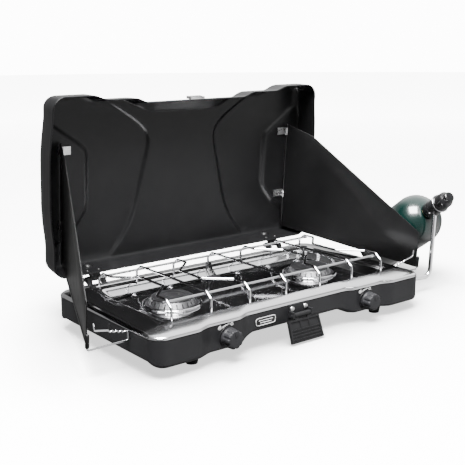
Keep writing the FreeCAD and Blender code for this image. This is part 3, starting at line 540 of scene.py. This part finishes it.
def tray_h(P):
    P = P.copy()
    z = np.full(len(P), 52.95)
    for sx in (-1, 1):
        d = P - np.array([sx * BX, 0.0])
        r = np.linalg.norm(d, axis=1)
        near = np.abs(r - 46.0) < 1.9
        P[near] = np.array([sx * BX, 0.0]) + d[near] / r[near][:, None] * 46.0
        z += 0.5 * np.exp(-((r - 49.0) / 5.0) ** 2)
    z += 1.4 * np.exp(-(P[:, 0] / 14.0) ** 2 - ((P[:, 1] - 84.0) / 13.0) ** 2) - 0.25 * np.exp(-(P[:, 0] / 60.0) ** 2)
    return np.column_stack([P, z])
def hole(*c):
    m = sum(c) / 4.0
    return any(math.hypot(m[0] - sx * BX, m[1]) < 45.6 for sx in (-1, 1))
tv, tf = pan(stack, floor_loop, tray_h, nf2, ns2, drop=hole)
tray = build("tray_polished", tv, tf, M["tray"], "root", ["drip_tray"])
solidify(tray, 0.6)

# ------------------------------------------------------------------ base
def under(P):
    ax, ay = np.abs(P[:, 0]), np.abs(P[:, 1])
    a = smooth_interp(ax, [0, 92, 120, 300], [28.5, 28.5, 16.0, 16.0], 4.0)
    b = smooth_interp(ay, [0, 127, 145, 300], [22.0, 22.0, 16.0, 16.0], 3.0)
    z = np.maximum(a, b)
    for x, y in ((-196, -118), (196, -118), (-196, 122), (196, 122)):
        r = np.hypot(P[:, 0] - x, P[:, 1] - y)
        z = z - (z - 16.0) * step((21.5 - r) / 5.0)
    return z
stack = []
P1 = outline(0.0, W / 2, -D / 2, D / 2, 23.0, nf2, ns2)
Pi = outline(1.6, W / 2, -D / 2, D / 2, 23.0, nf2, ns2)
zb = under(P1)
stack.append(lift(Pi, 60.0))
stack.append(lift(P1, 59.7))
RB = 6.5
for k in range(1, 15):
    t = k / 15.0
    stack.append(np.column_stack([P1, 59.7 * (1 - t) + (zb + RB) * t]))
for k in range(0, 9):
    a = math.pi / 2 * k / 8
    d = RB * (1 - math.cos(a))
    pk = outline(d, W / 2, -D / 2, D / 2, 23.0, nf2, ns2)
    zk = under(pk)
    stack.append(np.column_stack([pk, zk + RB * (1 - math.sin(a))]))
for d in (8.0, 11.0, 15.0):
    pk = outline(d, W / 2, -D / 2, D / 2, 23.0, nf2, ns2)
    stack.append(np.column_stack([pk, under(pk)]))
bl = outline(15.0, W / 2, -D / 2, D / 2, 23.0, nf2, ns2)
bv, bf = pan(stack, bl, lambda P: np.column_stack([P, under(P)]), nf2, ns2)
base = build("base_pressed_shell", bv, bf, M["enamel"], "root", ["base_shell"])
solidify(base, 0.9)

# painted shade: dark plates fill the slots where the wires go in, standing in for the shaded openings
bag = Bag()
for sx in (-1, 1):
    for y, z0, z1 in ((-81.5, 46.0, 58.0), (-23.6, 44.0, 54.0)):
        pts = rounded([(y - 3.6, z0 - 1), (y + 3.6, z0 - 1), (y + 3.6, z1 + 0.6), (y - 3.6, z1 + 0.6)], 3.0, 5)
        bag.add(*slab(pts, 0.0, 0.35, ((sx * 280.0, 0, 0), (0, 1, 0), (0, 0, 1), (sx, 0, 0)), 0.15))
build("base_slot_shade_plates", bag.v, bag.f, M["dark"], "root")

# ------------------------------------------------------------------ wind panels
PSI = math.radians(20.44)
wv_ = Vector((math.sin(PSI), -math.cos(PSI) * math.sin(TH), -math.cos(PSI) * math.cos(TH)))
H0 = lid_pt(246.5, 0, 40)
def mirror_v(v):
    return [(-p[0], p[1], p[2]) for p in v]
def panel_mesh(sx):
    n_ = wv_.cross(EV).normalized()
    fr = (H0, wv_, EV, n_)
    bag = Bag()
    pts = rounded([(0.0, 12.0), (285.5, -13.3), (292.7, -14.0), (293.3, 54.0), (57.0, 205.6), (0.0, 221.0)], [2, 3, 3.0, 7.0, 14.0, 3.0], 6)
    bag.add(*slab(pts, -0.45, 0.45, fr, 0.3))
    # folded hems along the slope, front and foot
    def hem(a, b, wd, side):
        a, b = np.array(a, float), np.array(b, float)
        e = (b - a) / np.linalg.norm(b - a)
        nn = np.array([-e[1], e[0]])
        q = [a, b, b + nn * wd, a + nn * wd]
        bag.add(*slab(rounded([tuple(t) for t in q], 1.2, 3), side * 0.42, side * 1.15, fr, 0.3))
    hem((288.0, 56.2), (60.0, 202.6), 6.0, -1)
    hem((291.3, -12.0), (291.9, 50.0), 6.0, -1)
    hem((4.0, 12.6), (283.5, -12.2), 5.0, -1)
    # rolled bead on the hinge side and the eye for the wire
    for (v0, v1) in ((12, 72), (90, 198), (216, 221)):
        A = H0 + EV * v0
        B = H0 + EV * v1
        bag.add(*sweep([A, A * 0.5 + B * 0.5, B], 2.3, 16))
    A = H0 + EV * 12
    bag.add(*sweep([H0 + EV * 70, H0 + EV * 92], 1.9, 16))
    bag.add(*sweep([H0 + EV * 196, H0 + EV * 218], 1.9, 16))
    bag.add(*lathe([(1.62, -12.6), (2.6, -13.0), (3.15, -12.4), (3.15, 6.4), (2.6, 7.0), (1.62, 6.6)], H0 + wv_ * 294.9, EV, 24))
    v = bag.v if sx > 0 else mirror_v(bag.v)
    return v, bag.f
for sx, nm in ((1, "right"), (-1, "left")):
    v, f = panel_mesh(sx)
    build("wind_panel_sheet_" + nm, v, f, M["enamel_panel"], "panel_" + nm, ["wind_panel_" + nm], sharp=50)

# ------------------------------------------------------------------ knobs
def knob_mesh(x):
    bag = Bag()
    prof_ = rounded([(3.4, 0.4), (14.6, 0.4), (15.6, 0.9), (15.7, 3.6), (15.0, 5.0), (14.7, 16.0), (13.5, 18.6), (9.0, 19.3), (0.0, 19.5)], 1.1, 4, closed=False)
    dense = []
    for a, b in zip(prof_[:-1], prof_[1:]):
        k = max(1, int(math.hypot(a[0] - b[0], a[1] - b[1]) / 1.2))
        for i in range(k):
            dense.append((a[0] + (b[0] - a[0]) * i / k, a[1] + (b[1] - a[1]) * i / k))
    dense.append(prof_[-1])
    def fl(t, s, r):
        if r < 12.0 or s < 4.6:
            return r
        g = 0.5 + 0.5 * math.cos(10 * t)
        cut = (max(0.0, g - 0.25) / 0.75) ** 1.4
        fade = min(1.0, (s - 4.6) / 1.5)
        return r - 1.25 * cut * fade
    bag.add(*lathe(dense, (x, -146.2, 37.0), (0, -1, 0), 180, closed=False, flute=fl))
    # raised pointer from the middle to the top edge
    pts = rounded([(-2.2, 4.5), (2.2, 4.5), (2.6, 14.2), (-2.6, 14.2)], 1.4, 4)
    bag.add(*slab(pts, 18.0, 20.0, ((x, -146.2, 37.0), (1, 0, 0), (0, 0, 1), (0, -1, 0)), 0.7))
    return bag
for sx, nm in ((-1, "left"), (1, "right")):
    b = knob_mesh(sx * 148.0)
    build("knob_moulded_" + nm, b.v, b.f, M["plastic"], "knob_" + nm, ["knob_" + nm], merge=0.01, sharp=42)
    # shallow collar behind the knob
    lv_, lf2 = lathe(rounded([(14.6, 0.0), (16.2, 0.0), (15.9, 0.7), (14.8, 0.7)], 0.3, 3), (sx * 148.0, -144.05, 37.0), (0, -1, 0), 72)
    build("knob_collar_" + nm, lv_, lf2, M["dark"], "root")

# ------------------------------------------------------------------ printed marks: flame, wedge and circle above each knob
def ribbon(pts, widths):
    P = [np.array(p, float) for p in pts]
    L, Rr = [], []
    for i, p in enumerate(P):
        t = P[min(i + 1, len(P) - 1)] - P[max(i - 1, 0)]
        t /= np.linalg.norm(t)
        nn = np.array([-t[1], t[0]])
        L.append(p + nn * widths[i] / 2)
        Rr.append(p - nn * widths[i] / 2)
    return L, Rr
def marks(cx, cz, y):
    bag = Bag()
    fr = ((cx, y, cz), (1, 0, 0), (0, 0, 1), (0, -1, 0))
    flame = [(-1.3, -1.9), (0.5, -2.6), (2.2, -1.7), (2.9, 0.1), (2.2, 1.4), (1.6, 3.9), (0.4, 2.4), (-0.4, 3.1), (-1.9, 1.2), (-2.3, -0.6)]
    bag.add(*slab(rounded([(p[0] * 1.35 - 15.0, p[1] * 1.2 + 16.4) for p in flame], 0.8, 3), 0.0, 0.14, fr, 0.04))
    t = np.linspace(0, 1, 12)
    pts = [(-9.6 + 13.0 * u, 16.4 + 3.6 * math.sin(u * 1.5)) for u in t]
    L, Rr = ribbon(pts, np.linspace(3.0, 1.0, 12))
    bag.add(*slab([tuple(p) for p in L] + [tuple(p) for p in Rr[::-1]], 0.0, 0.14, fr, 0.04))
    v, f = lathe([(1.3, 0.0), (2.6, 0.0), (2.6, 0.14), (1.3, 0.14)], (cx + 8.0, y, cz + 18.9), (0, -1, 0), 32)
    bag.add(v, f)
    return bag
for sx, nm in ((-1, "left"), (1, "right")):
    b = marks(sx * 148.0, 37.0, -144.02)
    build("printed_marks_" + nm, b.v, b.f, M["ink"], "root", sharp=30)

# ------------------------------------------------------------------ badge: plain plate with a light border
def stadium(cx, cz, hx, hz, n=14, skew=0.0):
    pts = []
    for k in range(n + 1):
        a = math.radians(-90 + 180 * k / n)
        pts.append((cx + hx - hz + hz * math.cos(a), cz + hz * math.sin(a)))
    for k in range(n + 1):
        a = math.radians(90 + 180 * k / n)
        pts.append((cx - hx + hz + hz * math.cos(a), cz + hz * math.sin(a)))
    return pts
fr = ((0, -136.05, 0), (1, 0, 0), (0, 0, 1), (0, -1, 0))
bag = Bag().add(*slab(rounded([(-88.5, 37.4), (-47.5, 37.4), (-47.5, 50.6), (-88.5, 50.6)], 5.0, 8), 0.0, 0.8, fr, 0.3))
build("badge_face", bag.v, bag.f, M["badge"], "root", sharp=40)
bag = Bag()
loop3 = [(p[0], -136.9, p[1]) for p in rounded([(-87.6, 38.2), (-48.4, 38.2), (-48.4, 49.8), (-87.6, 49.8)], 4.6, 8)]
bag.add(*sweep(loop3, 0.55, 10, closed=True))
for k, (x0, x1) in enumerate(((-82.0, -54.0), (-79.0, -57.0))):
    z = 45.6 - 3.6 * k
    bag.add(*sweep([(x0, -136.85, z), ((x0 + x1) / 2, -136.85, z), (x1, -136.85, z)], 0.5, 10))
build("badge_border", bag.v, bag.f, M["ink"], "root", ["badge_plate"])

# ------------------------------------------------------------------ burner rings and caps
for sx, nm in ((-1, "left"), (1, "right")):
    pr = rounded([(41.5, 51.4), (42.6, 50.4), (43.2, 50.4), (43.3, 52.9), (48.9, 53.05), (49.3, 54.4), (48.7, 56.6), (46.6, 58.0), (44.2, 57.6), (42.5, 55.8), (41.5, 53.8)], 0.9, 4)
    v, f = lathe(pr, (sx * BX, 0, 0), (0, 0, 1), 160)
    build("burner_ring_" + nm, v, f, M["ring"], "root", ["drip_ring_" + nm])
    # painted shade: a dark ring sheet fills the gap between the ring lip and the burner head, standing in for the shade
    # down in the gap
    pr = rounded([(35.6, 55.2), (43.3, 56.4), (43.3, 57.2), (35.6, 56.2)], 0.2, 3)
    v, f = lathe(pr, (sx * BX, 0, 0), (0, 0, 1), 128)
    build("burner_gap_shade_" + nm, v, f, M["dark"], "root")
    pr = rounded([(0, 65.02), (33.2, 65.02), (34.4, 65.8), (34.5, 67.2), (32.0, 68.8), (22.0, 69.3), (20.0, 68.7), (13.0, 68.9), (12.0, 69.6), (0, 69.75)], 0.8, 4, closed=False)
    v, f = lathe(pr, (sx * BX, 0, 0), (0, 0, 1), 128, closed=False)
    build("burner_top_" + nm, v, f, M["dark"], "root", ["burner_cap_" + nm], merge=0.02)

# ------------------------------------------------------------------ fuel cylinder and regulator
AZ, DN = math.radians(14.0), math.radians(32.2)
DIR = Vector((math.sin(AZ) * math.cos(DN), math.cos(AZ) * math.cos(DN), -math.sin(DN)))
REG = Vector((390.0, -92.0, 163.0))
R_ = 49.3
dome = curve([(15.0, 33.6), (17.5, 34.4), (24.0, 37.0), (33.0, 42.5), (41.0, 50.0), (46.4, 59.0), (48.9, 69.0), (49.25, 76.0)], 34)
pr = [(0.0, 33.55), (13.6, 33.55)] + [tuple(p) for p in dome] + [(R_, 80.0), (R_, 110.0), (R_ - 0.35, 110.8), (R_ - 0.35, 111.8), (R_, 112.6), (R_, 170.0), (R_, 211.0), (48.2, 216.8), (44.0, 220.3), (30.0, 221.2), (0.0, 221.8)]
v, f = lathe(pr, REG, DIR, 160, closed=False)
build("fuel_bottle", v, f, M["green"], "cylinder", ["fuel_cylinder"], merge=0.02)
pr = rounded([(44.6, 220.2), (47.9, 217.2), (49.4, 212.2), (50.05, 212.2), (50.05, 225.6), (49.4, 226.0), (48.7, 225.6), (48.6, 219.2), (44.8, 221.4)], 0.6, 3)
v, f = lathe(pr, REG, DIR, 128)
build("bottle_foot_ring", v, f, M["footring"], "cylinder", ["cylinder_foot"])
def ribs(n, depth, lo, hi):
    def fl(t, s, r):
        if r < 8.0 or s < lo or s > hi:
            return r
        g = 0.5 + 0.5 * math.cos(n * t)
        return r - depth * max(0.0, g - 0.35) / 0.65
    return fl
pr = rounded([(0, -41.9), (8.4, -41.9), (9.6, -41.0), (10.1, -34.2), (13.4, -31.2), (15.2, -28.0), (15.7, -11.0), (12.0, -10.6), (11.95, -7.6), (0, -7.6)], 0.9, 4, closed=False)
v, f = lathe([p for p in pr], REG, DIR, 144, closed=False, flute=ribs(18, 0.45, -41.0, -34.0))
build("regulator_cap_ribbed", v, f, M["gloss"], "regulator", ["regulator_cap"], merge=0.02, sharp=50)
pr = rounded([(12.0, -10.45), (17.2, -10.45), (17.8, -9.6), (17.8, -8.0), (17.2, -7.1), (12.0, -7.1)], 0.4, 3)
v, f = lathe(pr, REG, DIR, 96)
build("regulator_band", v, f, M["chrome"], "regulator", ["regulator_ring"], sharp=50)

# ------------------------------------------------------------------ the rest of the CAD nodes take their finishes
finish = {
    "rubber": ["rubber_feet"],
    "enamel_lid": ["hinge_leaf_base", "hinge_pins", "hinge_rivets", "hinge_leaf_lid"],
    "zinc": ["foot_screws", "latch_rivets", "lid_keeper", "panel_clips_left", "panel_clips_right",
             "burner_bracket_left", "burner_bracket_right", "mixing_tube_left", "mixing_tube_right", "manifold_tube", "valve_stem_left", "valve_stem_right"],
    "alu": ["burner_head_left", "burner_head_right"],
    "tube": ["fuel_tube"],
    "gloss": ["regulator_body"],
    "brass": ["valve_body_left", "valve_body_right", "cylinder_valve"],
    # painted shade: the burner bowls take the dark finish so that they read black in the shaded gap under the burner
    # heads
    "dark": ["burner_bowl_left", "burner_bowl_right", "fuel_inlet", "tube_nut", "grate_clip"],
    "enamel": ["latch_bracket", "latch_pin"],
    "flap": ["latch_lever"],
    "chrome": ["strut_left", "strut_right", "grate_rail_front", "grate_rail_rear"] + [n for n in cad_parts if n.startswith("grate_bar_")],
}
for key, names in finish.items():
    for n in names:
        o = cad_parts[n]
        o.data.materials.clear()
        o.data.materials.append(M[key])
        o.data.polygons.foreach_set("use_smooth", [True] * len(o.data.polygons))

# ------------------------------------------------------------------ floor, light, camera
def stage_mesh(name, verts, faces, material):
    me = bpy.data.meshes.new(name)
    me.from_pydata(verts, [], faces)
    me.materials.append(material)
    o = bpy.data.objects.new(name, me)
    scene.collection.objects.link(o)
    return o
floor_mat = surface("pale_floor", (0.93, 0.93, 0.93), (0.90, 0.90, 0.90), (0.55, 0.65), spec=0.15, fine=(300.0, 0.02), wide=3.0)
fnt = floor_mat.node_tree
fp = next(n for n in fnt.nodes if n.type == "BSDF_PRINCIPLED")
ftc = next(n for n in fnt.nodes if n.type == "TEX_COORD")
# painted shadow: an ambient-occlusion mask mixes the floor's colour towards near black close to the object, a contact
# shadow painted into the floor
ao = fnt.nodes.new("ShaderNodeAmbientOcclusion")
ao.samples = 6
ao.inputs["Distance"].default_value = 0.15
pw = fnt.nodes.new("ShaderNodeMath")
pw.operation = "POWER"
pw.inputs[1].default_value = 2.2
fnt.links.new(ao.outputs["AO"], pw.inputs[0])
mul = fnt.nodes.new("ShaderNodeMix")
mul.data_type = "RGBA"
mul.blend_type = "MIX"
mul.inputs["A"].default_value = (0.02, 0.02, 0.02, 1)
fnt.links.new(fp.inputs["Base Color"].links[0].from_socket, mul.inputs["B"])
fnt.links.new(pw.outputs["Value"], mul.inputs["Factor"])
fnt.links.new(mul.outputs["Result"], fp.inputs["Base Color"])
# the floor also glows (emission), more strongly further from the middle
fl = fnt.nodes.new("ShaderNodeVectorMath")
fl.operation = "LENGTH"
fnt.links.new(ftc.outputs["Object"], fl.inputs[0])
fnt.links.new(remap(fnt, fl.outputs["Value"], 1.2, 8.0, 0.7, 4.0), fp.inputs["Emission Strength"])
fp.inputs["Emission Color"].default_value = (1, 1, 1, 1)
floor = stage_mesh("floor", [(-12, -12, -0.0002), (12, -12, -0.0002), (12, 12, -0.0002), (-12, 12, -0.0002)], [[0, 1, 2, 3]], floor_mat)
floor.visible_glossy = False
floor.visible_diffuse = False

# pale wall all round, far away
wall_mat = bpy.data.materials.new("pale_wall")
wall_mat.use_nodes = True
wt = wall_mat.node_tree
wt.nodes.clear()
wo = wt.nodes.new("ShaderNodeOutputMaterial")
we = wt.nodes.new("ShaderNodeEmission")
we.inputs["Color"].default_value = (1, 1, 1, 1)
we.inputs["Strength"].default_value = 13.0
wt.links.new(we.outputs["Emission"], wo.inputs["Surface"])
nw = 96
wv2 = [(11 * math.cos(2 * math.pi * k / nw), 11 * math.sin(2 * math.pi * k / nw), z) for z in (-0.001, 9.0) for k in range(nw)]
wall = stage_mesh("wall", wv2, [[k, (k + 1) % nw, nw + (k + 1) % nw, nw + k] for k in range(nw)], wall_mat)
wall.visible_glossy = False
wall.visible_diffuse = False
wall.visible_shadow = False

world = bpy.data.worlds.new("studio")
scene.world = world
world.use_nodes = True
wn = world.node_tree
bg = wn.nodes["Background"]
wtc = wn.nodes.new("ShaderNodeTexCoord")
dot = wn.nodes.new("ShaderNodeVectorMath")
dot.operation = "DOT_PRODUCT"
dot.inputs[1].default_value = (0.58, 0.26, 0.772)
wn.links.new(wtc.outputs["Generated"], dot.inputs[0])
wr = wn.nodes.new("ShaderNodeMapRange")
wr.interpolation_type = "SMOOTHSTEP"
wr.inputs["From Min"].default_value = 0.55
wr.inputs["From Max"].default_value = 0.97
wr.inputs["To Min"].default_value = 0.42
wr.inputs["To Max"].default_value = 3.4
wn.links.new(dot.outputs["Value"], wr.inputs["Value"])
dot2 = wn.nodes.new("ShaderNodeVectorMath")
dot2.operation = "DOT_PRODUCT"
dot2.inputs[1].default_value = (0.53, -0.76, -0.37)
wn.links.new(wtc.outputs["Generated"], dot2.inputs[0])
wr2 = wn.nodes.new("ShaderNodeMapRange")
wr2.interpolation_type = "SMOOTHSTEP"
wr2.inputs["From Min"].default_value = 0.55
wr2.inputs["From Max"].default_value = 0.97
wr2.inputs["To Min"].default_value = 0.0
wr2.inputs["To Max"].default_value = 1.9
wn.links.new(dot2.outputs["Value"], wr2.inputs["Value"])
wadd = wn.nodes.new("ShaderNodeMath")
wadd.operation = "ADD"
wn.links.new(wr.outputs["Result"], wadd.inputs[0])
wn.links.new(wr2.outputs["Result"], wadd.inputs[1])
wn.links.new(wadd.outputs["Value"], bg.inputs["Strength"])
bg.inputs["Color"].default_value = (1, 1, 1, 1)

def area(name, loc, target, size, power):
    d = bpy.data.lights.new(name, "AREA")
    d.energy = power
    d.size = size
    o = bpy.data.objects.new(name, d)
    o.location = loc
    o.rotation_euler = (Vector(target) - Vector(loc)).to_track_quat("-Z", "Y").to_euler()
    scene.collection.objects.link(o)
    return o
area("key_top", (-0.9, -0.9, 3.0), (0.0, 0, 0), 1.7, 1500)
area("fill_front", (0.2, -2.6, 2.6), (0.0, 0, 0.15), 1.4, 60)

cam_d = bpy.data.cameras.new("camera")
cam = bpy.data.objects.new("camera", cam_d)
scene.collection.objects.link(cam)
r_ = Vector((0.78964601, -0.61352468, -0.0068297))
u_ = Vector((0.13975619, 0.16901439, 0.97565483))
b_ = Vector((-0.59743399, -0.77137644, 0.21920541))
mat = Matrix((( r_.x, u_.x, b_.x, -0.89058), (r_.y, u_.y, b_.y, -1.11623), (r_.z, u_.z, b_.z, 0.47127), (0, 0, 0, 1)))
cam.matrix_world = mat
cam_d.sensor_width = 36.0
cam_d.lens = 864.2634 / 465.0 * 36.0
cam_d.clip_start, cam_d.clip_end = 0.05, 60.0
cam_d.dof.use_dof = False
scene.camera = cam
